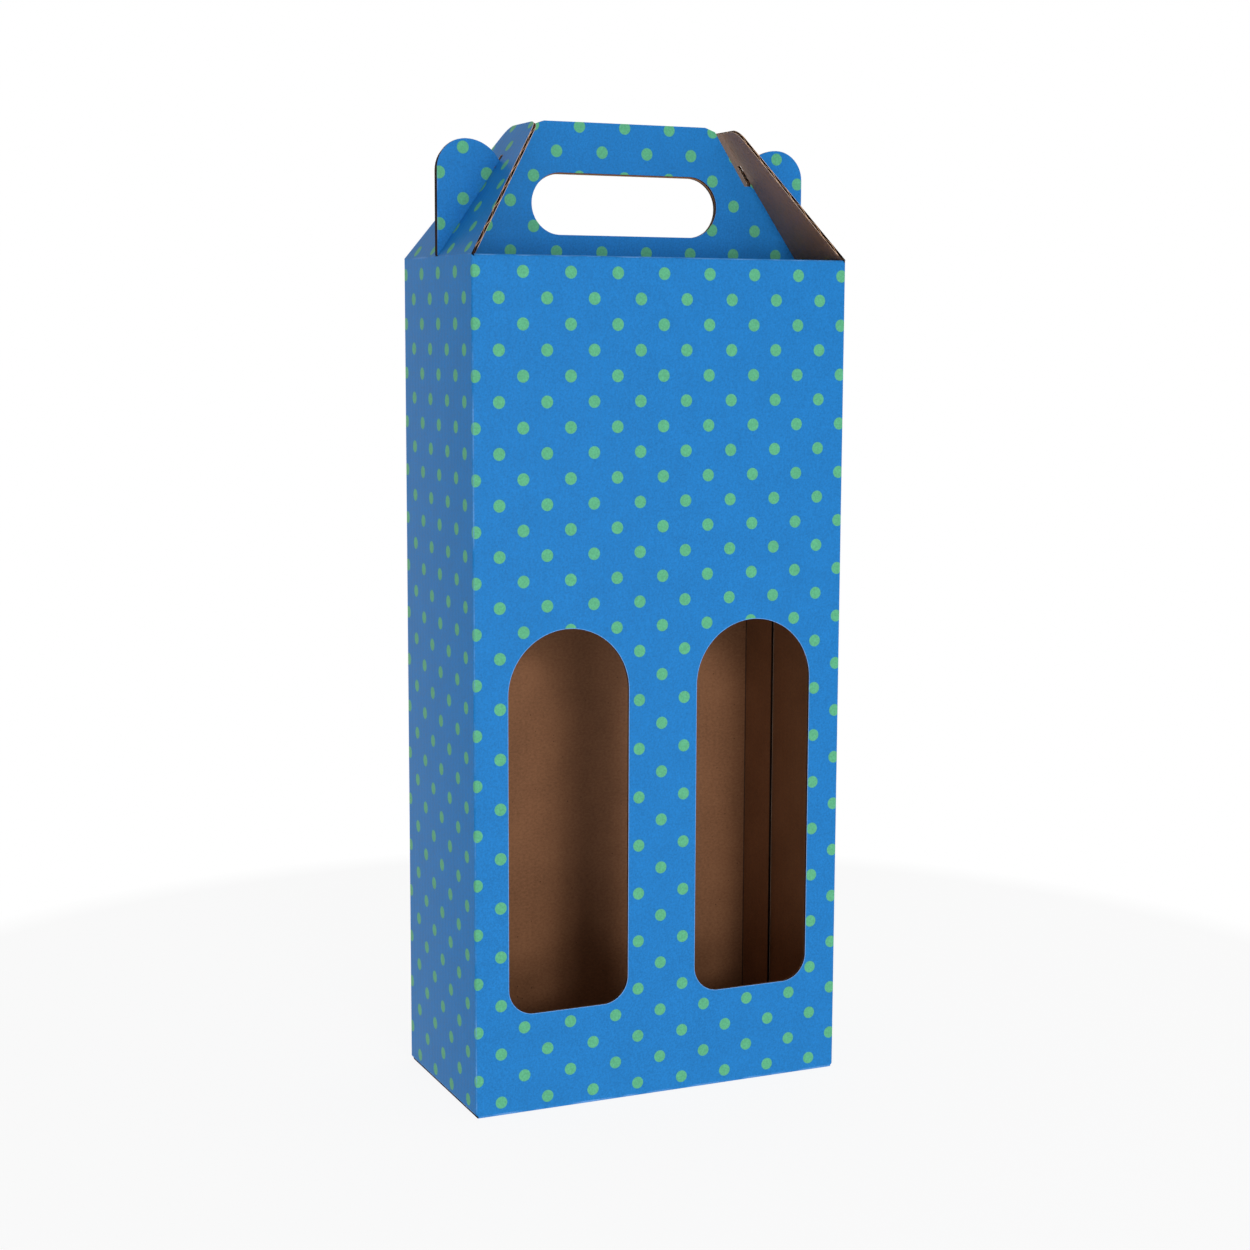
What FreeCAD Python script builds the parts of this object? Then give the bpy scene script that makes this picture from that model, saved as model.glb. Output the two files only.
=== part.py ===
"""Bottle shipping box: a carrier for two bottles, cut and folded from one corrugated sheet.

Frame: +Z up, origin at the bottom centre, the wall with the windows faces -Y.
The sheet makes the walls, the glued bottom, the two roof halves and the two handle
panels with their ears. The two side flaps lean inwards over the ears and lock them.
"""
import FreeCAD, Part
import os
from math import radians
import Sketcher

SIZES = [
    ("width", 180.0, "outside, across the window wall"),
    ("depth", 90.0, "outside, front to back"),
    ("height", 378.0, "floor to the top folds"),
    ("board", 1.5, "thickness of the corrugated board"),
    ("fold_radius", 1.2, "outer radius of a fold"),
    ("window_width", 57.5, "of each arched window"),
    ("window_height", 171.6, "sill to the crown of the arch"),
    ("window_sill", 45.1, "floor to the sill"),
    ("window_spacing", 90.9, "between the window centre lines"),
    ("window_corner", 12.0, "radius of the lower corners"),
    ("handle_rise", 60.3, "roof to the top of the handle"),
    ("handle_top_width", 79.4, "straight top edge of the handle"),
    ("shoulder_width", 89.4, "across the handle below its corner cuts"),
    ("shoulder_rise", 58.5, "roof to the lower end of the corner cuts"),
    ("notch_rise", 34.5, "roof to the floor of the notch beside each ear"),
    ("notch_width", 3.1, "between the handle's slanted side and the ear"),
    ("neck_width", 26.7, "of the ear beside the notch"),
    ("hook_rise", 39.2, "roof to the underside of the ear's hook"),
    ("hook_tip_rise", 41.2, "roof to the tip of the hook"),
    ("ear_rise", 51.2, "roof to the top of the ear"),
    ("ear_outer_radius", 13.4, "arc on the outer side of the ear"),
    ("ear_inner_radius", 18.0, "arc on the inner side of the ear"),
    ("ear_foot_gap", 0.5, "under the ear's overhang beside the roof"),
    ("hole_width", 91.4, "of the hand hole, end to end"),
    ("hole_height", 27.4, "of the hand hole"),
    ("hole_rise", 10.5, "roof to the lower edge of the hand hole"),
    ("panel_gap", 0.2, "between the two handle panels"),
    ("flap_lean", 34.7, "degrees, from upright, inwards"),
    ("flap_length", 71.4, "fold to the top edge of a lock flap"),
    ("flap_top_width", 31.8, "between the corners before rounding"),
    ("flap_corner", 8.0, "radius of the top corners"),
    ("flap_side_gap", 0.4, "flap foot to the faces of the box"),
    ("fold_gap", 0.15, "wall to flap foot along the fold"),
    ("slot_clearance", 0.6, "slot to the faces of the ears"),
    ("slot_end_clearance", 0.6, "slot end to the ears' swing circle"),
    ("roof_end_gap", 0.3, "roof end to the inner face of a lock flap"),
    ("glue_flap_width", 28.0, "of the seam flap inside the right wall"),
    ("glue_flap_inset", 8.0, "seam flap to the roof and to the bottom"),
    ("seam_gap", 0.3, "width of the open seam at the rear corner"),
    ("seam_depth", 1.2, "depth of the open seam at the rear corner"),
    ("bottom_seam", 0.5, "between the two outer bottom flaps"),
    ("bottom_end_gap", 0.3, "outer bottom flaps to the side faces"),
    ("minor_flap_length", 44.0, "of the inner bottom flaps"),
]

SAME_POINT = 0.000001
SAME_LENGTH = 0.01
# Half length of the roof, which stops short of the lean of the lock flaps
ROOF_END = "({width} / 2 - {board} / cos({flap_lean} * 1 deg) - {roof_end_gap})"
# Longest reach of an ear from the fold of its lock flap, through the centre of its inner arc
EAR_REACH = ("(sqrt({ear_outer_radius} ^ 2 + ({ear_rise} - {ear_inner_radius}) ^ 2)"
             " + {ear_inner_radius})")
SLOT_END = "(" + EAR_REACH + " + {slot_end_clearance})"

doc = FreeCAD.newDocument("bottle_box")
sheet = doc.addObject("Spreadsheet::Sheet", "sizes")


def write_sheet():
    """Put every driving size in the sheet, with its alias and what it is."""
    for row, (alias, value, meaning) in enumerate(SIZES, start=1):
        sheet.set("A%d" % row, alias)
        sheet.set("B%d" % row, "%g" % value)
        sheet.set("C%d" % row, meaning)
        sheet.setAlias("B%d" % row, alias)
    doc.recompute()


def named(formula):
    """Let a formula use the bare names of the sheet."""
    for alias, _, _ in sorted(SIZES, key=lambda size: -len(size[0])):
        formula = formula.replace("{%s}" % alias, "sizes.%s" % alias)
    return formula


def value_of(formula):
    """Number that a formula of sheet names gives."""
    result = sheet.evalExpression(named(formula))
    return float(getattr(result, "Value", result))


def origin_plane(body, role):
    """The body's own XY, XZ or YZ plane."""
    for feature in body.Origin.OriginFeatures:
        if feature.Role == role:
            return feature
    raise ValueError(role)


def new_sketch(body, name, role, offset="0"):
    """Sketch on an origin plane of its body, moved along the plane's normal."""
    sketch = body.newObject("Sketcher::SketchObject", name)
    sketch.AttachmentSupport = (origin_plane(body, role), [""])
    sketch.MapMode = "FlatFace"
    sketch.setExpression("AttachmentOffset.Base.z", named(offset))
    return sketch


def dimension(sketch, kind, formula, *where):
    """Constraint whose value follows a formula of sheet names."""
    index = sketch.addConstraint(Sketcher.Constraint(kind, *where, value_of(formula)))
    sketch.setExpression("Constraints[%d]" % index, named(formula))


def place(sketch, geometry, end, across, up):
    """Hold one end of a piece of geometry at a point given by two formulas."""
    dimension(sketch, "DistanceX", across, -1, 1, geometry, end)
    dimension(sketch, "DistanceY", up, -1, 1, geometry, end)


def point_of(corner):
    """Vector of a corner given by two formulas."""
    return FreeCAD.Vector(value_of(corner[0]), value_of(corner[1]), 0)


def end_of(sketch, item, end):
    """Where a corner is, or where an arc starts (1) or stops (2)."""
    if isinstance(item, tuple):
        return point_of(item)
    return sketch.getPoint(item, end)


def add_loop(sketch, items):
    """Closed outline, anticlockwise, of corners (two formulas each) and arcs already drawn."""
    lines = []
    for item, following in zip(items, items[1:] + items[:1]):
        start = end_of(sketch, item, 2)
        stop = end_of(sketch, following, 1)
        if start.distanceToPoint(stop) < SAME_POINT:
            lines.append(None)
        else:
            lines.append(sketch.addGeometry(Part.LineSegment(start, stop), False))
    for number, item in enumerate(items):
        before, after = lines[number - 1], lines[number]
        if isinstance(item, tuple):
            place(sketch, after, 1, *item)
            sketch.addConstraint(Sketcher.Constraint("Coincident", before, 2, after, 1))
            continue
        if before is not None:
            sketch.addConstraint(Sketcher.Constraint("Coincident", before, 2, item, 1))
        if after is not None:
            sketch.addConstraint(Sketcher.Constraint("Coincident", item, 2, after, 1))


def add_rectangle(sketch, left, low, right, high):
    """Closed rectangle between two corners."""
    add_loop(sketch, [(left, low), (right, low), (right, high), (left, high)])


def draw_arc(sketch, centre, radius, start, stop):
    """Arc of a circle, anticlockwise between two angles in degrees, not yet held."""
    circle = Part.Circle(point_of(centre), FreeCAD.Vector(0, 0, 1), value_of(radius))
    return sketch.addGeometry(Part.ArcOfCircle(circle, radians(start), radians(stop)), False)


def add_arc(sketch, centre, radius, start, stop):
    """Arc held by its centre and radius, with ends level with or straight above the centre."""
    arc = draw_arc(sketch, centre, radius, start, stop)
    place(sketch, arc, 3, *centre)
    dimension(sketch, "Radius", radius, arc)
    for end, angle in ((1, start), (2, stop)):
        kind = "Horizontal" if angle % 180 == 0 else "Vertical"
        sketch.addConstraint(Sketcher.Constraint(kind, arc, 3, arc, end))
    return arc


def pad(body, sketch, name, length, midplane=False, reverse=False):
    """Add material along the sketch's normal."""
    feature = body.newObject("PartDesign::Pad", name)
    feature.Profile = sketch
    feature.setExpression("Length", named(length))
    feature.Midplane = midplane
    feature.Reversed = reverse
    doc.recompute()
    return feature


def pocket(body, sketch, name, length, midplane=False, reverse=False):
    """Remove material against the sketch's normal, and make sure that some went."""
    before = body.Shape.Volume
    feature = body.newObject("PartDesign::Pocket", name)
    feature.Profile = sketch
    feature.setExpression("Length", named(length))
    feature.Midplane = midplane
    feature.Reversed = reverse
    doc.recompute()
    if body.Shape.Volume >= before:
        raise RuntimeError("%s removes nothing" % name)
    return feature


def mirror_across(body, name, features):
    """Repeat features on the other side of the plane between the two windows."""
    feature = body.newObject("PartDesign::Mirrored", name)
    feature.Originals = features
    feature.MirrorPlane = (origin_plane(body, "YZ_Plane"), [""])
    body.Tip = feature
    doc.recompute()


def fillet(body, name, radius, chosen):
    """Round the edges of the body that the test picks."""
    base = body.Tip
    edges = enumerate(base.Shape.Edges, start=1)
    names = ["Edge%d" % number for number, edge in edges if chosen(edge)]
    if not names:
        raise RuntimeError("%s finds no edge" % name)
    feature = body.newObject("PartDesign::Fillet", name)
    feature.Base = (base, names)
    feature.setExpression("Radius", named(radius))
    doc.recompute()
    return feature


def near(first, second):
    """True when two lengths agree."""
    return abs(first - second) < SAME_LENGTH


def runs_along(edge, axis):
    """True for a straight edge parallel to the x, y or z axis."""
    if edge.Curve.TypeId != "Part::GeomLine":
        return False
    return near(abs(getattr(edge.Curve.Direction, axis)), 1.0)


def middle(edge):
    """Middle of a straight edge."""
    return (edge.Vertexes[0].Point + edge.Vertexes[-1].Point) * 0.5


def round_folds(body):
    """Round the outside of the folds at the walls' corners, top and bottom."""
    half_width = value_of("{width} / 2")
    half_depth = value_of("{depth} / 2")
    height = value_of("{height}")

    def upright_fold(edge):
        if not runs_along(edge, "z") or edge.Length < height / 2:
            return False
        at = middle(edge)
        outside = near(abs(at.x), half_width) and near(abs(at.y), half_depth)
        return outside and not (at.x > 0 and at.y > 0)

    def level_fold(edge):
        if not runs_along(edge, "x") or edge.Length < half_width:
            return False
        at = middle(edge)
        return near(abs(at.y), half_depth) and (near(at.z, 0) or near(at.z, height))

    fillet(body, "level_folds", "{fold_radius}", level_fold)
    fillet(body, "upright_folds", "{fold_radius}", upright_fold)


def add_walls(body):
    """Four walls, as the plan of the folded sheet raised to the top folds."""
    plan = new_sketch(body, "wall_plan", "XY_Plane")
    add_rectangle(plan, "-{width} / 2", "-{depth} / 2", "{width} / 2", "{depth} / 2")
    add_rectangle(plan, "-{width} / 2 + {board}", "-{depth} / 2 + {board}",
                  "{width} / 2 - {board}", "{depth} / 2 - {board}")
    pad(body, plan, "walls", "{height}")
    round_folds(body)


def add_bottom(body):
    """Glued bottom: flaps from the long walls outside, flaps from the side walls above them."""
    foot = new_sketch(body, "side_wall_foot", "XY_Plane")
    front, back = "-{depth} / 2 + {board}", "{depth} / 2 - {board}"
    add_rectangle(foot, "-{width} / 2", front, "-{width} / 2 + {board}", back)
    add_rectangle(foot, "{width} / 2 - {board}", front, "{width} / 2", back)
    pocket(body, foot, "side_foot", "{board}", reverse=True)
    minors = new_sketch(body, "minor_flaps", "XY_Plane", "{board}")
    add_rectangle(minors, "-{width} / 2 + {board} / 2", front,
                  "-{width} / 2 + {minor_flap_length}", back)
    add_rectangle(minors, "{width} / 2 - {minor_flap_length}", front,
                  "{width} / 2 - {board} / 2", back)
    pad(body, minors, "bottom_minors", "{board}")
    majors = new_sketch(body, "major_flaps", "XY_Plane")
    left, right = "-{width} / 2 + {bottom_end_gap}", "{width} / 2 - {bottom_end_gap}"
    add_rectangle(majors, left, front, right, "-{bottom_seam} / 2")
    add_rectangle(majors, left, "{bottom_seam} / 2", right, back)
    pad(body, majors, "bottom_majors", "{board}")


def add_roof(body):
    """Two halves of the roof, from the long walls to the handle panels."""
    halves = new_sketch(body, "roof_halves", "XY_Plane", "{height} - {board}")
    front, back = "-{depth} / 2 + {board}", "{depth} / 2 - {board}"
    add_rectangle(halves, "-" + ROOF_END, front, ROOF_END, back)
    pad(body, halves, "roof", "{board}")


def add_ear(sketch):
    """Outer and inner arc over the right-hand ear, which meet at its crown."""
    crown = "{width} / 2 - {ear_outer_radius}"
    top = "{height} + {ear_rise}"
    outer = add_arc(sketch, (crown, top + " - {ear_outer_radius}"), "{ear_outer_radius}", 0, 90)
    below_crown = top + " - {ear_inner_radius}"
    tip_angle = value_of("asin(({hook_tip_rise} - {ear_rise}) / {ear_inner_radius} + 1)")
    inner = draw_arc(sketch, (crown, below_crown), "{ear_inner_radius}", 90, 180 - tip_angle)
    sketch.addConstraint(Sketcher.Constraint("Coincident", outer, 2, inner, 1))
    sketch.addConstraint(Sketcher.Constraint("Vertical", inner, 3, inner, 1))
    dimension(sketch, "Radius", "{ear_inner_radius}", inner)
    dimension(sketch, "DistanceY", "{height} + {hook_tip_rise}", -1, 1, inner, 2)
    return outer, inner


def add_handle(body):
    """Both handle panels with their ears, then the hand hole and the gap between them."""
    half = new_sketch(body, "half_handle", "XZ_Plane")
    outer, inner = add_ear(half)
    neck = "{width} / 2 - {neck_width}"
    slant_foot = neck + " - {notch_width}"
    add_loop(half, [
        outer,
        inner,
        (neck, "{height} + {hook_rise}"),
        (neck, "{height} + {notch_rise}"),
        (slant_foot, "{height} + {notch_rise}"),
        ("{shoulder_width} / 2", "{height} + {shoulder_rise}"),
        ("{handle_top_width} / 2", "{height} + {handle_rise}"),
        ("0 * {width}", "{height} + {handle_rise}"),
        ("0 * {width}", "{height} - {board}"),
        (ROOF_END, "{height} - {board}"),
        (ROOF_END, "{height} + {ear_foot_gap}"),
        ("{width} / 2", "{height} + {ear_foot_gap}"),
    ])
    panels = pad(body, half, "handle_half", "2 * {board} + {panel_gap}", midplane=True)
    mirror_across(body, "handle", [panels])
    hole = new_sketch(body, "hand_hole", "XZ_Plane")
    reach = "({hole_width} - {hole_height}) / 2"
    centre = "{height} + {hole_rise} + {hole_height} / 2"
    add_loop(hole, [
        add_arc(hole, (reach, centre), "{hole_height} / 2", -90, 90),
        add_arc(hole, ("-" + reach, centre), "{hole_height} / 2", 90, 270),
    ])
    pocket(body, hole, "hand_hole_cut", "{depth}", midplane=True)
    gap = new_sketch(body, "between_panels", "XZ_Plane")
    add_rectangle(gap, "-{width}", "{height} - 2 * {board}", "{width}", "{height} + {width}")
    pocket(body, gap, "panel_gap_cut", "{panel_gap}", midplane=True)


def add_windows(body):
    """Two arched windows through the front wall."""
    window = new_sketch(body, "window", "XZ_Plane", "{depth} / 2")
    left = "({window_spacing} - {window_width}) / 2"
    right = "({window_spacing} + {window_width}) / 2"
    spring = "{window_sill} + {window_height} - {window_width} / 2"
    low = "{window_sill} + {window_corner}"
    add_loop(window, [
        add_arc(window, ("{window_spacing} / 2", spring), "{window_width} / 2", 0, 180),
        add_arc(window, (left + " + {window_corner}", low), "{window_corner}", 180, 270),
        add_arc(window, (right + " - {window_corner}", low), "{window_corner}", 270, 360),
    ])
    cut = pocket(body, window, "window_cut", "2 * {board}")
    mirror_across(body, "windows", [cut])


def add_seam(body):
    """Seam flap glued inside the right wall, and the open seam at the rear corner."""
    flap = new_sketch(body, "seam_flap", "YZ_Plane", "{width} / 2 - {board}")
    inside_back = "{depth} / 2 - {board} / 2"
    add_rectangle(flap, "{depth} / 2 - {glue_flap_width}", "2 * {board} + {glue_flap_inset}",
                  inside_back, "{height} - {board} - {glue_flap_inset}")
    pad(body, flap, "glue_flap", "{board}", reverse=True)
    groove = new_sketch(body, "corner_groove", "XY_Plane")
    middle_x = "{width} / 2 - {board}"
    add_rectangle(groove, middle_x, "{depth} / 2 - {seam_depth}",
                  middle_x + " + {seam_gap}", "{depth} / 2 + {seam_depth}")
    pocket(body, groove, "corner_seam", "{height}", reverse=True)


def add_side_tops(body):
    """Mitre on the tops of the side walls, for the folds of the lock flaps, up to the roof's end."""
    mitre = new_sketch(body, "side_top", "XZ_Plane")
    drop = "{height} - {board} * tan({flap_lean} * 1 deg / 2)"
    add_loop(mitre, [("{width} / 2", "{height}"), (ROOF_END, "{height}"),
                     (ROOF_END, drop), ("{width} / 2 - {board}", drop)])
    cut = pocket(body, mitre, "side_top_mitre", "2 * {depth}", midplane=True)
    mirror_across(body, "side_mitres", [cut])


def make_carton():
    """Walls, bottom, roof and handle: everything that one sheet gives but the lock flaps."""
    body = doc.addObject("PartDesign::Body", "carton")
    body.Label = "carton"
    add_walls(body)
    add_bottom(body)
    add_roof(body)
    add_handle(body)
    add_windows(body)
    add_side_tops(body)
    add_seam(body)
    return body


def make_lock_flap(name, side):
    """Side flap, flat in its own frame: fold along Y, length along Z; side is -1 on the left."""
    body = doc.addObject("PartDesign::Body", name)
    body.Label = name
    body.Placement.Rotation = FreeCAD.Rotation(FreeCAD.Vector(0, -side, 0), 1)
    body.setExpression("Placement.Base.x", named("%d * {width} / 2" % side))
    body.setExpression("Placement.Base.z", named("{height}"))
    body.setExpression("Placement.Rotation.Angle", named("{flap_lean} * 1 deg"))
    foot = "({depth} / 2 - {flap_side_gap})"
    slot = "({board} + {panel_gap} / 2 + {slot_clearance})"
    top = "{flap_top_width} / 2"
    outline = new_sketch(body, name + "_outline", "YZ_Plane")
    add_loop(outline, [
        ("-" + foot, "{fold_gap}"), ("-" + slot, "{fold_gap}"),
        ("-" + slot, SLOT_END), (slot, SLOT_END),
        (slot, "{fold_gap}"), (foot, "{fold_gap}"),
        (top, "{flap_length}"), ("-" + top, "{flap_length}"),
    ])
    pad(body, outline, name + "_board", "{board}", reverse=side > 0)
    mitre = new_sketch(body, name + "_mitre", "XZ_Plane")
    inner_face = "%d * {board}" % -side
    rise = "{fold_gap} + {board} * tan({flap_lean} * 1 deg / 2)"
    add_loop(mitre, [("0 * {board}", "{fold_gap}"), (inner_face, "{fold_gap}"), (inner_face, rise)])
    pocket(body, mitre, name + "_foot", "2 * {depth}", midplane=True)
    length = value_of("{flap_length}")

    def top_corner(edge):
        return runs_along(edge, "x") and near(middle(edge).z, length)

    fillet(body, name + "_corners", "{flap_corner}", top_corner)
    return body


def check_and_write(bodies):
    """Stop on any failed feature or bad shape, then write one STEP file for each body."""
    doc.recompute()
    for item in doc.Objects:
        if "Invalid" in item.State or "Error" in item.State:
            raise RuntimeError("%s: %s" % (item.Name, item.State))
    os.makedirs("parts", exist_ok=True)
    for body in bodies:
        shape = body.Shape
        if shape.isNull() or not shape.isValid() or len(shape.Solids) != 1:
            raise RuntimeError("%s has no single valid solid" % body.Label)
        shape.exportStep("parts/%s.step" % body.Label)
        box = shape.BoundBox
        print("%s: %.0f mm3, x %.1f to %.1f, y %.1f to %.1f, z %.1f to %.1f" % (
            body.Label, shape.Volume, box.XMin, box.XMax, box.YMin, box.YMax, box.ZMin, box.ZMax))


write_sheet()
check_and_write([
    make_carton(),
    make_lock_flap("left_lock_flap", -1),
    make_lock_flap("right_lock_flap", 1),
])
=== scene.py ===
# %% [markdown]
# # A bottle shipping box of printed corrugated board
# The real object is one die-cut sheet of micro-flute board: a printed paper liner outside, a plain
# brown liner inside, and a wavy sheet of paper, the fluting, glued between them. It is folded into
# four walls, a bottom, a roof and a doubled handle. Two side flaps lean inwards and lock the ears.
# The CAD model gives every outline and thickness. This script shows the board itself: each layer is
# its own surface, so that the cut edges show real flutes instead of a painted line.

# %% Load the frame
from math import cos, pi, radians, sin, sqrt, tan

import bmesh
import bpy
import numpy as np
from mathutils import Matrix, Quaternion, Vector


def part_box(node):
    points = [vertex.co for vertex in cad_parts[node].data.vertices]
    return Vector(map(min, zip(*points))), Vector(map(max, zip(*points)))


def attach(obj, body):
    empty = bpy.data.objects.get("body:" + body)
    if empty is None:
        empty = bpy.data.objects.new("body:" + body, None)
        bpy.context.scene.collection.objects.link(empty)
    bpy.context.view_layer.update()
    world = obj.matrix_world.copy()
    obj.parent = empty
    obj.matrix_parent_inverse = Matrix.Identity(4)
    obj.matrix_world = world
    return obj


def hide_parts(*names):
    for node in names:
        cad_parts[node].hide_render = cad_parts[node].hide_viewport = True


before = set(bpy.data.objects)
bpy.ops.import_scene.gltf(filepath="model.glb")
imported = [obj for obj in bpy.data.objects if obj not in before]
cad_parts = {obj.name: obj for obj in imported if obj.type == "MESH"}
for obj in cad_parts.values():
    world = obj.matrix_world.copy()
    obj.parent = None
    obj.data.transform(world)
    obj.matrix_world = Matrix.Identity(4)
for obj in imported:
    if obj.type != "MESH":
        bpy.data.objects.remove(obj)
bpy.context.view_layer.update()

# %% [markdown]
# ## Sizes
# The outer sizes are read from the frame, so the looks always fit the solids. The sizes of the
# cut-outs and folds are the ones that the solids were made with. Everything is in metres.
# A size is written once here and everything else is worked out from it, as on a cutting plan.

# %% Sizes of the folded sheet
MM = 0.001
carton_low, carton_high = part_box("carton")
WIDTH = carton_high.x - carton_low.x
DEPTH = carton_high.y - carton_low.y
HANDLE_RISE = 60.3 * MM
HEIGHT = carton_high.z - HANDLE_RISE
BOARD = 1.5 * MM
FOLD_RADIUS = 1.2 * MM
CREASE_RADIUS = 0.4 * MM
INNER_CREASE = 0.3 * MM
PANEL_GAP = 0.2 * MM
print("box %.0f x %.0f x %.0f mm" % (WIDTH / MM, DEPTH / MM, HEIGHT / MM))

# %% Sizes of the windows and of the handle
WINDOW_WIDTH = 57.5 * MM
WINDOW_HEIGHT = 171.6 * MM
WINDOW_SILL = 45.1 * MM
WINDOW_AT = 45.45 * MM
WINDOW_CORNER = 12 * MM
SPRING = WINDOW_SILL + WINDOW_HEIGHT - WINDOW_WIDTH / 2
HOLE_WIDTH = 91.4 * MM
HOLE_HEIGHT = 27.4 * MM
HOLE_MIDDLE = HEIGHT + 24.2 * MM
# Half widths of the handle from its top edge down to the notch beside the ear, and their heights
HANDLE_CORNERS = np.array([39.7, 44.7, 60.2, 63.3]) * MM
HANDLE_HEIGHTS = HEIGHT + np.array([60.3, 58.5, 34.5, 34.5]) * MM
EAR_AT = 76.6 * MM
EAR_OUTER_RADIUS = 13.4 * MM
EAR_INNER_RADIUS = 18 * MM
EAR_TOP = HEIGHT + 51.2 * MM
EAR_NECK = 63.3 * MM
HOOK_TIP = 60.5 * MM
# Underside of the hook at its tip and at the neck
HOOK_UNDER = HEIGHT + np.array([41.15, 39.2]) * MM
HOOK_FALL = 3 * MM
EAR_FOOT = HEIGHT + 0.5 * MM
# The rear panel is set lower by this, as its edge is hidden behind the front one in the photograph
REAR_SINK = 0.6 * MM

# %% Sizes of the flaps
FLAP_LEAN = radians(34.7)
FLAP_LENGTH = 71.4 * MM
FLAP_HALF_FOOT = DEPTH / 2 - 0.4 * MM
FLAP_HALF_TOP = 15.9 * MM
# The solid flap starts this far from the fold; the print runs on closer to it
FLAP_FOOT = 0.15 * MM
PRINT_FOOT = 0.03 * MM
FLAP_CORNER = 8 * MM
SLOT_HALF = 1.7 * MM
SLOT_END = 54.4 * MM
ROOF_END = WIDTH / 2 - BOARD / cos(FLAP_LEAN) - 0.3 * MM
BOTTOM_SEAM = 0.25 * MM
BOTTOM_HALF = WIDTH / 2 - 0.3 * MM
MINOR_END = WIDTH / 2 - 44 * MM
GLUE_FLAP_END = DEPTH / 2 - 28 * MM
GLUE_FLAP_LOW = 11 * MM
GLUE_FLAP_HIGH = 368.5 * MM
# Between two boards that lie on each other, and beside the inner bottom flaps
BOARD_CLEARANCE = 0.02 * MM
MINOR_SIDE_GAP = 0.1 * MM

# %% [markdown]
# ## The layers of the board
# A 1.5 mm board is two thin liners with a wave of stiffer paper between them. The wave has a pitch
# of 4 mm, because the faint ripple of the print repeats that often. A flap's slanted side cuts the
# flutes at a shallow angle, so a long dark hole shows every 5.4 mm there, like a twisted rope. The
# papers inside the board are painted near black as shade, which deepens these holes.
# Stripes painted on one thick edge would be simpler, but they look flat from close by.

# %% Layers
LINER = 0.16 * MM
FLUTE_PAPER = 0.26 * MM
FLUTE_PITCH = 4.0 * MM
# Share of its room that the wave fills, so that it never breaks through a liner
FLUTE_FILL = 0.98
FLUTE_SWING = (BOARD - 2 * LINER - FLUTE_PAPER) / 2 * FLUTE_FILL
SAMPLES_PER_FLUTE = 12
print("flutes in the front wall:", int(WIDTH / FLUTE_PITCH))

# %% [markdown]
# ## The print's own coordinates
# The dots are printed on the flat sheet before it is folded, so they run on over every fold. Each
# surface gets a UV map named blank, which says where on the flat sheet it was. One unit of it is
# half the distance between two dots of a row. The four walls follow each other round the box.
# Dots laid out wall by wall would be simpler, but they wouldn't meet at the corners.

# %% Blank coordinates
DOT_STEP = 11.05 * MM
# Rows of the top fold and of the handle's foot, and column of the front's middle, all measured
WALL_TOP_ROW = -0.65
HANDLE_FOOT_ROW = -4.72
SIDES = {"front": 0, "right": 1, "back": 2, "left": 3}
MIDDLE_COLUMN = {"front": 6.055}
MIDDLE_COLUMN["right"] = MIDDLE_COLUMN["front"] + (WIDTH + DEPTH) / 2 / DOT_STEP
MIDDLE_COLUMN["left"] = MIDDLE_COLUMN["front"] - (WIDTH + DEPTH) / 2 / DOT_STEP
MIDDLE_COLUMN["back"] = MIDDLE_COLUMN["left"] - (WIDTH + DEPTH) / 2 / DOT_STEP
MIDDLE_COLUMN["glue"] = MIDDLE_COLUMN["back"] - (WIDTH + DEPTH) / 2 / DOT_STEP
HALF = {"front": WIDTH / 2, "back": WIDTH / 2, "left": DEPTH / 2, "right": DEPTH / 2}
REACH = {"front": DEPTH / 2, "back": DEPTH / 2, "left": WIDTH / 2, "right": WIDTH / 2}


def wall_row(z):
    """Row of the blank at a height on a wall: rows grow downwards from the top fold."""
    return WALL_TOP_ROW + (HEIGHT - z) / DOT_STEP


def column_at(side, u):
    """Column of the blank at a distance u from the middle of a side."""
    return MIDDLE_COLUMN[side] + u / DOT_STEP


# %% [markdown]
# ## Surfaces from two parameters
# Every layer is a grid: u runs across the flutes and v along them. The rows of a grid may bend, so
# that one row follows a window's sill and the next one its arch, and the cells between them are
# left out. That gives clean outlines with no cutting. A patch is one such grid, and a piece is
# several patches welded where they meet.

# %% Grids, patches and pieces
GRID_STEP = 0.05 * MM
WELD = 0.004 * MM


def rising(*groups):
    """All positions of the groups in rising order, rounded to GRID_STEP so that no two almost meet."""
    every = np.concatenate([np.atleast_1d(group) for group in groups])
    return np.unique(np.round(every / GRID_STEP)) * GRID_STEP


def patch(side, u, out, z, column, row, keep=None):
    """Grid of points round the box: u along a side, out from the middle of the box, z up.
    The sides follow each other by quarter turns: x = u cos a + out sin a, y = u sin a - out cos a."""
    angle = SIDES[side] * pi / 2
    u, out, z, column, row = np.broadcast_arrays(u, out, z, column, row)
    x = u * cos(angle) + out * sin(angle)
    y = u * sin(angle) - out * cos(angle)
    points = np.stack([x, y, z], axis=-1)
    blank = np.stack([column, row], axis=-1)
    if keep is None:
        keep = np.ones((u.shape[0] - 1, u.shape[1] - 1), bool)
    return points, blank, keep


def corners_of(keep):
    """Corner numbers of the kept cells: cell (i, j) joins points (i, j), (i+1, j), (i+1, j+1), (i, j+1)."""
    rows = keep.shape[1] + 1
    first = np.arange(keep.shape[0])[:, None] * rows + np.arange(keep.shape[1])[None, :]
    cells = np.stack([first, first + rows, first + rows + 1, first + 1], axis=-1)
    return cells[keep]


def weld(mesh):
    """Merge doubled points, so that patches join and cells of no height become triangles."""
    work = bmesh.new()
    work.from_mesh(mesh)
    bmesh.ops.remove_doubles(work, verts=work.verts, dist=WELD)
    work.to_mesh(mesh)
    work.free()


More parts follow.
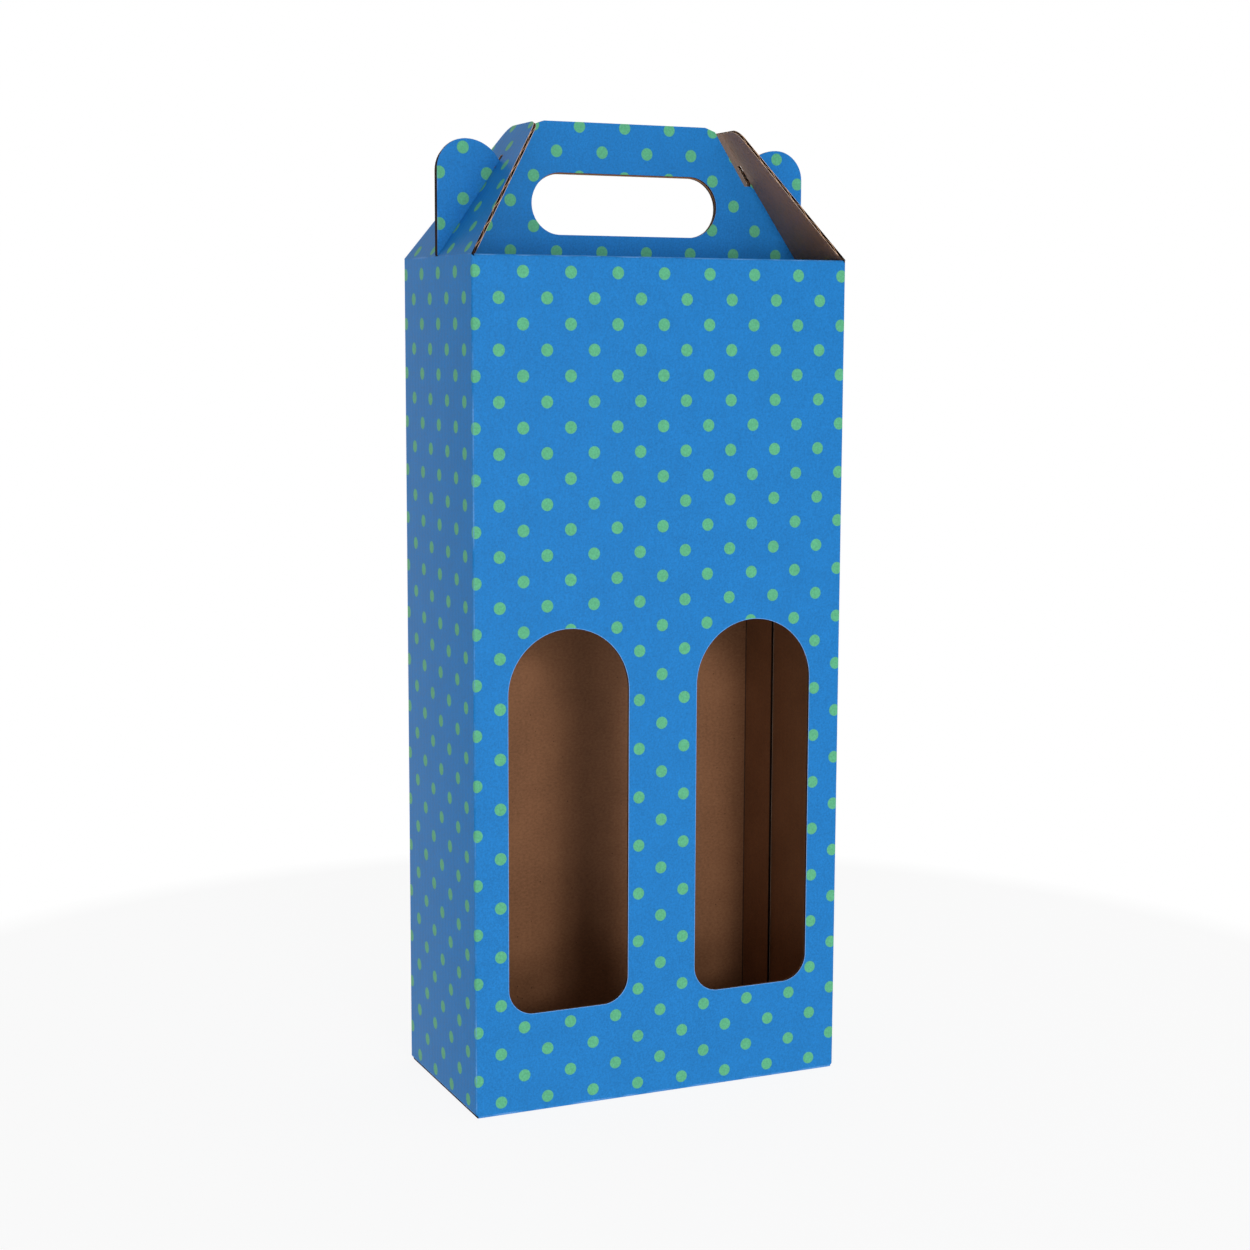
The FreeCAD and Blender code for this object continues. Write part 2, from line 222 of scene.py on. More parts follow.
def mesh_from(name, patches, flip):
    """One welded mesh from patches, with the blank coordinates as its UV map."""
    counts = np.cumsum([0] + [points.shape[0] * points.shape[1] for points, _, _ in patches])
    points = np.concatenate([points.reshape(-1, 3) for points, _, _ in patches])
    blank = np.concatenate([blank.reshape(-1, 2) for _, blank, _ in patches])
    faces = [corners_of(keep) + start for (_, _, keep), start in zip(patches, counts)]
    faces = np.concatenate(faces)
    if flip:
        faces = faces[:, ::-1]
    mesh = bpy.data.meshes.new(name)
    mesh.from_pydata(points.tolist(), [], faces.tolist())
    layer = mesh.uv_layers.new(name="blank")
    layer.data.foreach_set("uv", blank[faces.ravel()].astype(np.float32).ravel())
    weld(mesh)
    return mesh


def thicken(piece, thickness, offset):
    """Turn a surface into a sheet of paper and keep the result as the piece's own mesh.
    Offset -1 adds the thickness behind the face, 0 to both sides of it."""
    solid = piece.modifiers.new("paper", "SOLIDIFY")
    solid.thickness = thickness
    solid.offset = offset
    solid.use_even_offset = True
    solid.use_quality_normals = True
    solid.thickness_clamp = 1.0
    solid.material_offset = 1
    solid.material_offset_rim = 2
    view = bpy.context.evaluated_depsgraph_get()
    finished = bpy.data.meshes.new_from_object(piece.evaluated_get(view), depsgraph=view)
    piece.modifiers.clear()
    piece.data = finished
    finished.shade_smooth()
    finished.set_sharp_from_angle(angle=SMOOTH_ANGLE)


HINGE_REACH = 0.5 * MM


def print_hinge_edges(piece):
    """Give the thin edges of paper at a flap's fold the print, because the sheet runs on there.
    They are the faces whose middle lies within HINGE_REACH of the fold's line."""
    mesh = piece.data
    count = len(mesh.polygons)
    middle = np.empty(count * 3, np.float32)
    mesh.polygons.foreach_get("center", middle)
    middle = middle.reshape(-1, 3)
    near = np.hypot(np.abs(middle[:, 0]) - WIDTH / 2, middle[:, 2] - HEIGHT) < HINGE_REACH
    slots = np.empty(count, np.int32)
    mesh.polygons.foreach_get("material_index", slots)
    slots[near] = 0
    mesh.polygons.foreach_set("material_index", slots)


SMOOTH_ANGLE = radians(40)


def make_piece(name, body, patches, materials, thickness, offset=-1.0, flip=False):
    """Sheet of paper that rides on a body. Materials are for its face, its back and its cut rim."""
    piece = bpy.data.objects.new(name, mesh_from(name, patches, flip))
    bpy.context.scene.collection.objects.link(piece)
    for material in materials:
        piece.data.materials.append(material)
    thicken(piece, thickness, offset)
    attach(piece, body)
    print("%s: %d faces" % (name, len(piece.data.polygons)))
    return piece


# %% [markdown]
# ## Outlines
# A steel rule cuts all outlines of the sheet in one stroke. They could be cut with booleans here,
# but each cut-out is a formula over u instead, which leaves clean grids. A round end needs more
# columns where it turns steeply, so the columns are placed by the cosine of an even angle.

# %% Columns and outlines of the windows and the handle
QUARTER = np.linspace(0, pi / 2, 13)
HALF_TURN = np.linspace(0, pi, 49)


def sheet_columns():
    """Positions over the width at which some outline starts, stops or bends."""
    half = WINDOW_WIDTH / 2
    arch = WINDOW_AT + half * np.cos(HALF_TURN)
    corner = half - WINDOW_CORNER * (1 - np.cos(QUARTER))
    hole_end = HOLE_WIDTH / 2 - HOLE_HEIGHT / 2 * (1 - np.sin(QUARTER))
    ear_outer = EAR_AT + EAR_OUTER_RADIUS * np.sin(QUARTER)
    ear_inner = EAR_AT - (EAR_AT - HOOK_TIP) * np.sin(QUARTER)
    ends = np.array([0, ROOF_END, WIDTH / 2 - FOLD_RADIUS, WIDTH / 2])
    right = rising(arch, WINDOW_AT + corner, WINDOW_AT - corner, hole_end, ear_outer, ear_inner,
                   HANDLE_CORNERS, HOOK_TIP, ends)
    return rising(right, -right)


def window_rows(u):
    """Sill and arch over u: circles of the corner and of the crown, level beside the window."""
    half = WINDOW_WIDTH / 2
    across = np.clip(np.abs(np.abs(u) - WINDOW_AT), 0, half)
    turn = np.clip(across - (half - WINDOW_CORNER), 0, WINDOW_CORNER)
    sill = WINDOW_SILL + WINDOW_CORNER - np.sqrt(WINDOW_CORNER**2 - turn**2)
    arch = SPRING + np.sqrt(half**2 - across**2)
    return sill, arch


def wall_grid(u, low, high, windows=False):
    """Rows of a wall at columns u, and the cells that stay: all but those inside a window."""
    sill, arch = window_rows(u)
    if not windows:
        sill, arch = window_rows(np.full(len(u), WIDTH))
    rows = np.stack([np.full(len(u), low), sill, arch, np.full(len(u), high)], axis=1)
    keep = np.ones((len(u) - 1, 3), bool)
    middle = (u[1:] + u[:-1]) / 2
    inside = np.abs(np.abs(middle) - WINDOW_AT) < WINDOW_WIDTH / 2
    keep[:, 1] = ~(inside & windows)
    return rows, keep


def hand_hole_rows(u):
    """Lower and upper edge of the hand hole over u, which meet at its ends."""
    end = HOLE_HEIGHT / 2
    across = np.clip(np.abs(u) - (HOLE_WIDTH / 2 - end), 0, end)
    reach = np.sqrt(end**2 - across**2)
    return HOLE_MIDDLE - reach, HOLE_MIDDLE + reach


def ear_top(u):
    """Top of an ear over |u|: a circle outside its crown and a wider one inside."""
    away = np.abs(u) - EAR_AT
    outside = EAR_TOP - EAR_OUTER_RADIUS + np.sqrt(np.clip(EAR_OUTER_RADIUS**2 - away**2, 0, None))
    inside = EAR_TOP - EAR_INNER_RADIUS + np.sqrt(EAR_INNER_RADIUS**2 - away**2)
    return np.where(away > 0, outside, inside)


def handle_middle(u, foot, sink):
    """Grid between the two ears, with the hand hole left out."""
    below, above = hand_hole_rows(u)
    top = np.interp(np.abs(u), HANDLE_CORNERS, HANDLE_HEIGHTS)
    rows = np.stack([np.full(len(u), foot), below - sink, above - sink, top - sink], axis=1)
    keep = np.ones((len(u) - 1, 3), bool)
    keep[:, 1] = False
    return u, rows, keep


def ear_grid(u, foot, sink):
    """Grid of an ear from its neck outwards. The row at the hook's level falls by HOOK_FALL
    towards the outer edge, which keeps its cells even."""
    share = (np.abs(u) - EAR_NECK) / (WIDTH / 2 - EAR_NECK)
    start = np.where(np.abs(u) > ROOF_END + GRID_STEP, EAR_FOOT, foot)
    hook = HOOK_UNDER[1] - share * HOOK_FALL
    notch = np.full(len(u), HANDLE_HEIGHTS[-1])
    rows = [start, np.full(len(u), HOLE_MIDDLE), notch, hook, ear_top(u)]
    rows = np.stack(rows, axis=1) - sink * np.array([0, 1, 1, 1, 1])
    return u, rows, np.ones((len(u) - 1, 4), bool)


def hook_grid(u, sink):
    """Grid of the hook that reaches from an ear's neck over the notch."""
    under = np.interp(np.abs(u), [HOOK_TIP, EAR_NECK], HOOK_UNDER)
    rows = np.stack([under, ear_top(u)], axis=1) - sink
    return u, rows, np.ones((len(u) - 1, 1), bool)


def handle_grids(u, foot, sink=0.0):
    """Grids of a handle panel: its middle, each ear and each ear's hook. Sink lowers the outline
    a little, for the panel that sits behind the other one."""
    slack = GRID_STEP / 2
    grids = [handle_middle(u[np.abs(u) < EAR_NECK + slack], foot, sink)]
    for sign in (-1, 1):
        grids.append(ear_grid(u[sign * u > EAR_NECK - slack], foot, sink))
        hook = (sign * u > HOOK_TIP - slack) & (sign * u < EAR_NECK + slack)
        grids.append(hook_grid(u[hook], sink))
    return grids


# %% Outline of a lock flap
FLAP_SLOPE = (FLAP_LENGTH - FLAP_FOOT) / (FLAP_HALF_FOOT - FLAP_HALF_TOP)


def flap_top(u):
    """Upper outline of a flap over u: level, then a circle of the corner radius, then the slant."""
    slope = FLAP_SLOPE
    slant = FLAP_FOOT + (FLAP_HALF_FOOT - np.abs(u)) * slope
    level = FLAP_LENGTH - FLAP_CORNER
    at_level = FLAP_HALF_FOOT - (level - FLAP_FOOT) / slope
    centre = at_level - FLAP_CORNER * sqrt(1 + slope**2) / slope
    across = np.clip(np.abs(u) - centre, 0, FLAP_CORNER)
    circle = level + np.sqrt(FLAP_CORNER**2 - across**2)
    tangent = centre + FLAP_CORNER * slope / sqrt(1 + slope**2)
    return np.where(np.abs(u) < tangent, circle, slant)


def flap_half(foot):
    """Half width of a flap at the height of its foot."""
    return FLAP_HALF_FOOT - max(foot - FLAP_FOOT, 0) / FLAP_SLOPE


def flap_columns(foot):
    """Columns of a flap: its slot, its rounded corners and its foot."""
    corner = np.linspace(FLAP_HALF_TOP - FLAP_CORNER, FLAP_HALF_TOP + FLAP_CORNER / 2, 25)
    right = rising(corner, np.array([0, SLOT_HALF]))
    right = np.append(right, flap_half(foot))
    return np.unique(np.concatenate([-right, right]))


def flap_grid(u, foot):
    """Rows of a flap: its foot, the level of the slot's end and its top. The slot's cells are left out."""
    top = np.maximum(flap_top(u), foot)
    slot_row = foot + (top - foot) * (SLOT_END - foot) / (FLAP_LENGTH - foot)
    rows = np.stack([np.full(len(u), foot), slot_row, top], axis=1)
    keep = np.ones((len(u) - 1, 2), bool)
    middle = (u[1:] + u[:-1]) / 2
    keep[:, 0] = np.abs(middle) > SLOT_HALF
    return rows, keep


# %% [markdown]
# ## Finishes
# The sheet shows four kinds of surface: the printed face, the plain brown face inside, the papers
# hidden in the board, and the raw cut edges. The papers hidden in the board are painted near black,
# and the brown face and the cut edges of the carton darker than those of the flaps, all as painted
# shade. A photograph of paper would be the quick way, but formulas stay sharp from close by. Three
# effects are shared, so they are node groups: the ripple that the flutes press through a liner, the
# fine fibres of paper, and the distances on the flat sheet to its folds and windows. Near the folds
# the print is worn and a painted shade darkens the brown, and along the windows' cut edges a pale
# line is partly paper at the cut and partly a painted highlight.

# %% Helpers for nodes
def node(tree, kind, **values):
    """New shader node with some of its properties and inputs set."""
    made = tree.nodes.new(kind)
    for key, value in values.items():
        if key in made.inputs:
            made.inputs[key].default_value = value
        else:
            setattr(made, key, value)
    return made


def math(tree, operation, first, second=0.0, clamp=False):
    """Output of a Math node on two sockets or numbers."""
    made = tree.nodes.new("ShaderNodeMath")
    made.operation = operation
    made.use_clamp = clamp
    for socket, value in zip(made.inputs, (first, second)):
        if isinstance(value, bpy.types.NodeSocket):
            tree.links.new(value, socket)
        else:
            socket.default_value = value
    return made.outputs[0]


def mix_colour(tree, factor, first, second, blend="MIX"):
    """Colour between two colours or sockets by a factor."""
    made = tree.nodes.new("ShaderNodeMix")
    made.data_type = "RGBA"
    made.blend_type = blend
    for socket, value in ((made.inputs[0], factor), (made.inputs[6], first), (made.inputs[7], second)):
        if isinstance(value, bpy.types.NodeSocket):
            tree.links.new(value, socket)
        else:
            socket.default_value = value
    return made.outputs[2]


def spread_to(tree, value, low, high, to_low=0.0, to_high=1.0):
    """A value from low to high mapped to another span and clamped."""
    made = tree.nodes.new("ShaderNodeMapRange")
    made.clamp = True
    tree.links.new(value, made.inputs[0])
    for socket, number in zip(made.inputs[1:5], (low, high, to_low, to_high)):
        socket.default_value = number
    return made.outputs[0]


def blank_place(tree):
    """Sockets of the column and row on the flat sheet."""
    uv = node(tree, "ShaderNodeUVMap", uv_map="blank")
    split = node(tree, "ShaderNodeSeparateXYZ")
    tree.links.new(uv.outputs[0], split.inputs[0])
    return split.outputs[0], split.outputs[1]


def new_group(name, inputs, outputs):
    """Empty node group with named sockets: (name, kind, default) for inputs, (name, kind) for outputs."""
    group = bpy.data.node_groups.new(name, "ShaderNodeTree")
    for label, kind, default in inputs:
        socket = group.interface.new_socket(label, in_out="INPUT", socket_type=kind)
        socket.default_value = default
    for label, kind in outputs:
        group.interface.new_socket(label, in_out="OUTPUT", socket_type=kind)
    return group, group.nodes.new("NodeGroupInput"), group.nodes.new("NodeGroupOutput")


# %% Flute ripple and paper fibres
def make_ripple_group():
    """Height of the washboard: the sine of the blank's column, so that it follows every fold."""
    group, entry, exit_node = new_group(
        "flute_ripple", [("Flutes per unit", "NodeSocketFloat", DOT_STEP / FLUTE_PITCH)],
        [("Height", "NodeSocketFloat")])
    column, _ = blank_place(group)
    turns = math(group, "MULTIPLY", column, entry.outputs[0])
    wave = math(group, "SINE", math(group, "MULTIPLY", turns, 2 * pi))
    height = spread_to(group, wave, -1.0, 1.0)
    group.links.new(height, exit_node.inputs[0])
    return group


def make_fibre_group():
    """Fine fibres and a broad cloudiness of paper, both from 0 to 1, on object coordinates."""
    group, entry, exit_node = new_group(
        "paper_fibres",
        [("Fibre scale", "NodeSocketFloat", 900.0), ("Cloud scale", "NodeSocketFloat", 60.0),
         ("Stretch", "NodeSocketVector", (1.0, 1.0, 1.0))],
        [("Fibres", "NodeSocketFloat"), ("Clouds", "NodeSocketFloat")])
    place = node(group, "ShaderNodeTexCoord")
    stretch = node(group, "ShaderNodeMapping")
    group.links.new(place.outputs["Object"], stretch.inputs["Vector"])
    group.links.new(entry.outputs[2], stretch.inputs["Scale"])
    fine = node(group, "ShaderNodeTexNoise", Detail=4.0, Roughness=0.65)
    group.links.new(stretch.outputs[0], fine.inputs["Vector"])
    group.links.new(entry.outputs[0], fine.inputs["Scale"])
    broad = node(group, "ShaderNodeTexNoise", Detail=2.0, Roughness=0.5)
    group.links.new(place.outputs["Object"], broad.inputs["Vector"])
    group.links.new(entry.outputs[1], broad.inputs["Scale"])
    group.links.new(fine.outputs[0], exit_node.inputs[0])
    group.links.new(broad.outputs[0], exit_node.inputs[1])
    return group


RIPPLE = make_ripple_group()
FIBRES = make_fibre_group()
print("effects:", RIPPLE.name, FIBRES.name)


# %% Colours and measures of the finishes
PRINT_BLUE = (0.014, 0.196, 0.54, 1)
PRINT_GREEN = (0.11, 0.44, 0.235, 1)
OVERPRINT = (0.01, 0.11, 0.22, 1)
WORN_BLUE = (0.16, 0.36, 0.72, 1)
# Pale blue along the windows' cut edges: partly paper showing at the cut, partly a painted highlight where
# the edge catches the light.
PALE_CUT_AND_HIGHLIGHT_BLUE = (0.13, 0.36, 0.78, 1)
# One brown paper in two tones: darker inside the box as painted shade, lighter on the flaps as painted
# light.
SHADED_KRAFT = (0.315, 0.142, 0.066, 1)
SHADED_KRAFT_DARK = (0.215, 0.095, 0.043, 1)
LIT_FLAP_KRAFT = (0.37, 0.168, 0.078, 1)
LIT_FLAP_KRAFT_DARK = (0.27, 0.12, 0.054, 1)
# The carton's cut edges are painted much darker than the flaps' raw edges, as painted shade.
SHADED_CUT_EDGE = (0.26, 0.15, 0.09, 1)
RAW_EDGE = (0.75, 0.48, 0.3, 1)
# Near black: painted shade for the papers inside the board, deep in the narrow flutes. It also colours the
# painted shade along the creases.
DEEP_SHADE = (0.03, 0.015, 0.01, 1)
LINER_EDGE = (0.68, 0.56, 0.5, 1)
# Dot radius, the softness of its edge, and the ring of overlapping inks, in units of the blank
DOT_RADIUS = 0.25
DOT_SOFTNESS = 0.008
RING_OFFSET = 0.012
RING_HALF_WIDTH = 0.018
RING_STRENGTH = 0.16
# Distances in millimetres at which wear, the pale line with its painted highlight along the windows, and
# the painted shade of the crease start and are full
WEAR_REACH = (0.7, 0.1)
PALE_CUT_AND_HIGHLIGHT_REACH = (0.34, 0.12)
CREASE_SHADE_REACH = (2.1, 1.6)
WEAR_PATCHES = (0.42, 0.62)
WEAR_STRENGTH = 0.6
# Span of noise values that covers nearly all of a surface, and what is made of it
NOISE_SPAN = (0.3, 0.7)
INK_UNEVEN = (0.83, 1.17)
INK_CLOUDS = (0.97, 1.03)
PRINT_ROUGHNESS = (0.42, 0.56)
PRINT_GLOSS = 0.11
KRAFT_ROUGHNESS = (0.45, 0.6)
CLOUD_SHARE = 0.3
BROWN_SPAN = (0.36, 0.62)
# Depths of the flutes' ripple and of the fibres in the bump
PRINT_RIPPLE = 0.028 * MM
PRINT_GRAIN = 0.02 * MM
KRAFT_RIPPLE = 0.03 * MM
KRAFT_GRAIN = 0.04 * MM
SPECK_SCALE = 420.0
SPECK_EDGE = (0.1, 0.16)
SPECK_SHADE = 0.45
# Share of the cells that stay without a speck
SPECK_FREE = 0.93


# %% Helpers for materials
def new_material(name):
    """Material with a Principled shader, and that shader."""
    material = bpy.data.materials.new(name)
    material.use_nodes = True
    return material, material.node_tree, material.node_tree.nodes["Principled BSDF"]


def use_group(tree, group, **values):
    """Node that runs a group with its named inputs set."""
    made = tree.nodes.new("ShaderNodeGroup")
    made.node_tree = group
    for key, value in values.items():
        made.inputs[key.replace("_", " ")].default_value = value
    return made


def dot_distance(tree):
    """Distance from the nearest dot's middle. Dots sit where column and row are whole and their sum
    is even, so half the sum and half the difference are whole there: p = (c + r) / 2, q = (c - r) / 2.
    Offsets in p and q are turned by 45 degrees and shorter by the root of 2."""
    column, row = blank_place(tree)
    p = math(tree, "MULTIPLY", math(tree, "ADD", column, row), 0.5)
    q = math(tree, "MULTIPLY", math(tree, "SUBTRACT", column, row), 0.5)
    p_off = math(tree, "SUBTRACT", p, math(tree, "ROUND", p))
    q_off = math(tree, "SUBTRACT", q, math(tree, "ROUND", q))
    return math(tree, "MULTIPLY", length_of(tree, p_off, q_off), sqrt(2))


def smallest(tree, *values):
    """Smallest of several sockets."""
    least = values[0]
    for value in values[1:]:
        least = math(tree, "MINIMUM", least, value)
    return least


def gap_to(tree, value, line):
    """Distance of a value from a fixed line."""
    return math(tree, "ABSOLUTE", math(tree, "SUBTRACT", value, line))


def length_of(tree, first, second):
    """Length of the vector with two given parts."""
    square = math(tree, "ADD", math(tree, "MULTIPLY", first, first), math(tree, "MULTIPLY", second, second))
    return math(tree, "SQRT", square)


def fold_distance(tree, along, rise):
    """Distance to the nearest outer fold, on the upright folds, the seam, the top and the foot.
    At the glued seam two boards lie on each other, so its line counts as one board wide."""
    near = WIDTH / 2 / MM
    far = (WIDTH / 2 + DEPTH) / MM
    seam = (WIDTH * 1.5 + DEPTH - BOARD / 2) / MM
    seam_gap = math(tree, "SUBTRACT", gap_to(tree, along, seam), BOARD / 2 / MM)
    return smallest(tree, gap_to(tree, along, near), gap_to(tree, along, far), seam_gap,
                    gap_to(tree, rise, HEIGHT / MM), gap_to(tree, rise, 0.0))


def window_distance(tree, along, rise):
    """Distance outside the nearest window. A window is the overlap of a shape with a round top and
    one with round lower corners, so this is the larger of the distances to these two."""
    beside = gap_to(tree, along, WINDOW_AT / MM)
    half = WINDOW_WIDTH / 2 / MM
    corner = WINDOW_CORNER / MM
    over = math(tree, "MAXIMUM", math(tree, "SUBTRACT", rise, SPRING / MM), 0.0)
    crown = math(tree, "SUBTRACT", length_of(tree, beside, over), half)
    aside = math(tree, "MAXIMUM", math(tree, "SUBTRACT", beside, half - corner), 0.0)
    under = math(tree, "MAXIMUM", math(tree, "SUBTRACT", WINDOW_SILL / MM + corner, rise), 0.0)
    foot = math(tree, "SUBTRACT", length_of(tree, aside, under), corner)
    return math(tree, "MAXIMUM", crown, foot)


def make_lines_group():
    """Distances in millimetres on the flat sheet, to the nearest fold and to the windows' edges.
    Folds and windows lie at the same distances to the left and right of the front's middle."""
    group, _, exit_node = new_group("sheet_lines", [], [("Fold", "NodeSocketFloat"),
                                                        ("Window", "NodeSocketFloat")])
    column, row = blank_place(group)
    step = DOT_STEP / MM
    along = math(group, "MULTIPLY", gap_to(group, column, MIDDLE_COLUMN["front"]), step)
    rise = math(group, "MULTIPLY", math(group, "SUBTRACT", wall_row(0), row), step)
    group.links.new(fold_distance(group, along, rise), exit_node.inputs["Fold"])
    group.links.new(window_distance(group, along, rise), exit_node.inputs["Window"])
    return group


LINES = make_lines_group()


def join_bump(tree, shader, ripple, fibres, ripple_depth, fibre_depth):
    """Bump from the flutes first and from the fibres on top of it."""
    first = node(tree, "ShaderNodeBump", Strength=1.0, Distance=ripple_depth)
    second = node(tree, "ShaderNodeBump", Strength=1.0, Distance=fibre_depth)
    tree.links.new(ripple, first.inputs["Height"])
    tree.links.new(fibres, second.inputs["Height"])
    tree.links.new(first.outputs[0], second.inputs["Normal"])
    tree.links.new(second.outputs[0], shader.inputs["Normal"])


def printed_ink(tree, fibres):
    """Blue with green dots, a faint ring where the inks overlap, wear at folds, and a pale line along the
    windows' cut edges that is partly paper at the cut and partly a painted highlight.
    """
    distance = dot_distance(tree)
    dot = spread_to(tree, distance, DOT_RADIUS + DOT_SOFTNESS, DOT_RADIUS - DOT_SOFTNESS)
    ink = mix_colour(tree, dot, PRINT_BLUE, PRINT_GREEN)
    ring = gap_to(tree, distance, DOT_RADIUS + RING_OFFSET)
    overlap = spread_to(tree, ring, RING_HALF_WIDTH, 0.0, 0.0, RING_STRENGTH)
    ink = mix_colour(tree, overlap, ink, OVERPRINT)
    lines = use_group(tree, LINES)
    rubbed = spread_to(tree, lines.outputs["Fold"], *WEAR_REACH)
    patchy = spread_to(tree, fibres.outputs["Clouds"], *WEAR_PATCHES)
    worn = math(tree, "MULTIPLY", math(tree, "MULTIPLY", rubbed, patchy), WEAR_STRENGTH)
    ink = mix_colour(tree, worn, ink, WORN_BLUE)
    # The pale line along the windows: partly paper at the cut, partly a painted highlight.
    return mix_colour(tree, spread_to(tree, lines.outputs["Window"], *PALE_CUT_AND_HIGHLIGHT_REACH), ink, PALE_CUT_AND_HIGHLIGHT_BLUE)


def make_print():
    """Printed face: slightly uneven ink on rippled paper, with a satin sheen."""
    material, tree, shader = new_material("printed_paper")
    ripple = use_group(tree, RIPPLE)
    fibres = use_group(tree, FIBRES, Fibre_scale=1150.0, Cloud_scale=70.0)
    ink = printed_ink(tree, fibres)
    uneven = spread_to(tree, fibres.outputs["Fibres"], *NOISE_SPAN, *INK_UNEVEN)
    cloudy = spread_to(tree, fibres.outputs["Clouds"], *NOISE_SPAN, *INK_CLOUDS)
    shade = math(tree, "MULTIPLY", uneven, cloudy)
    tint = node(tree, "ShaderNodeCombineXYZ")
    for socket in tint.inputs:
        tree.links.new(shade, socket)
    colour = mix_colour(tree, 1.0, ink, tint.outputs[0], "MULTIPLY")
    tree.links.new(colour, shader.inputs["Base Color"])
    rough = spread_to(tree, fibres.outputs["Fibres"], *NOISE_SPAN, *PRINT_ROUGHNESS)
    tree.links.new(rough, shader.inputs["Roughness"])
    shader.inputs["Specular IOR Level"].default_value = PRINT_GLOSS
    join_bump(tree, shader, ripple.outputs[0], fibres.outputs[0], PRINT_RIPPLE, PRINT_GRAIN)
    return material


def specks(tree):
    """Mask of small dark specks, in a few of the cells of a Voronoi pattern."""
    place = node(tree, "ShaderNodeTexCoord")
    cells = node(tree, "ShaderNodeTexVoronoi", Scale=SPECK_SCALE)
    tree.links.new(place.outputs["Object"], cells.inputs["Vector"])
    speck = spread_to(tree, cells.outputs["Distance"], *SPECK_EDGE, 1.0, 0.0)
    chance = node(tree, "ShaderNodeSeparateXYZ")
    tree.links.new(cells.outputs["Color"], chance.inputs[0])
    chosen = math(tree, "GREATER_THAN", chance.outputs[0], SPECK_FREE)
    return math(tree, "MULTIPLY", speck, chosen)


def make_kraft(name, light, dark, ripple_depth, gloss=0.15, crease=0.85):
    """Unprinted brown paper: two browns mixed by fibres and clouds, with a few dark specks, and a dark
    line of painted shade along the folds, where a crease lies in shadow. Gloss is the strength of its grey
    sheen at a low angle."""
    material, tree, shader = new_material(name)
    ripple = use_group(tree, RIPPLE)
    fibres = use_group(tree, FIBRES, Fibre_scale=950.0, Cloud_scale=45.0, Stretch=(0.7, 0.7, 1.0))
    fine = math(tree, "MULTIPLY", fibres.outputs["Fibres"], 1 - CLOUD_SHARE)
    broad = math(tree, "MULTIPLY", fibres.outputs["Clouds"], CLOUD_SHARE)
    brown = mix_colour(tree, spread_to(tree, math(tree, "ADD", fine, broad), *BROWN_SPAN), dark, light)
    darker = tuple(channel * SPECK_SHADE for channel in dark[:3]) + (1,)
    brown = mix_colour(tree, specks(tree), brown, darker)
    # Painted shade: the brown darkens towards each fold line, where a crease lies in shadow. The crease
    # argument is its strength.
    crease_shade_mask = spread_to(tree, use_group(tree, LINES).outputs["Fold"], *CREASE_SHADE_REACH, 0.0, crease)
    tree.links.new(mix_colour(tree, crease_shade_mask, brown, DEEP_SHADE), shader.inputs["Base Color"])
    rough = spread_to(tree, fibres.outputs["Fibres"], *NOISE_SPAN, *KRAFT_ROUGHNESS)
    tree.links.new(rough, shader.inputs["Roughness"])
    shader.inputs["Specular IOR Level"].default_value = gloss
    join_bump(tree, shader, ripple.outputs[0], fibres.outputs[0], ripple_depth, KRAFT_GRAIN)
    return material


# %% Materials
print_face = make_print()
# The inside of the box gets the darker brown as painted shade, and the flaps get the lighter brown as
# painted light.
shaded_kraft_face = make_kraft("plain_brown_paper_in_painted_shade", SHADED_KRAFT, SHADED_KRAFT_DARK, KRAFT_RIPPLE)
lit_flap_kraft = make_kraft("brown_paper_of_the_flaps_painted_lighter", LIT_FLAP_KRAFT, LIT_FLAP_KRAFT_DARK, KRAFT_RIPPLE,
                        gloss=0.8, crease=0.4)
raw_edge = make_kraft("raw_cut_edge", RAW_EDGE, SHADED_KRAFT, 0.0)
# The same raw cut edge as the flaps', darkened as painted shade.
shaded_cut_edge = make_kraft("cut_edge_of_the_carton_in_painted_shade", SHADED_CUT_EDGE, SHADED_KRAFT_DARK, 0.0)
# The papers inside the board, painted near black as shade.
deep_shade_face = make_kraft("paper_inside_the_board_in_painted_shade", DEEP_SHADE, DEEP_SHADE, 0.0)
liner_edge = make_kraft("cut_edge_of_the_print", LINER_EDGE, RAW_EDGE, 0.0)
print("materials:", ", ".join(material.name for material in bpy.data.materials))

# %% [markdown]
# ## The roof and the handle
# The sheet runs without a break from a wall over the top fold, across the roof and up the handle.
# A bend modifier could fold a flat sheet, but here a fold is a quarter circle of grid rows, so it
# lands exactly on the solids. Both liners have the same form at two depths in the board, so each
# function takes a depth, called inset, and serves for both.

# %% Top fold, roof half and handle panel
FOLD_POINTS = 7


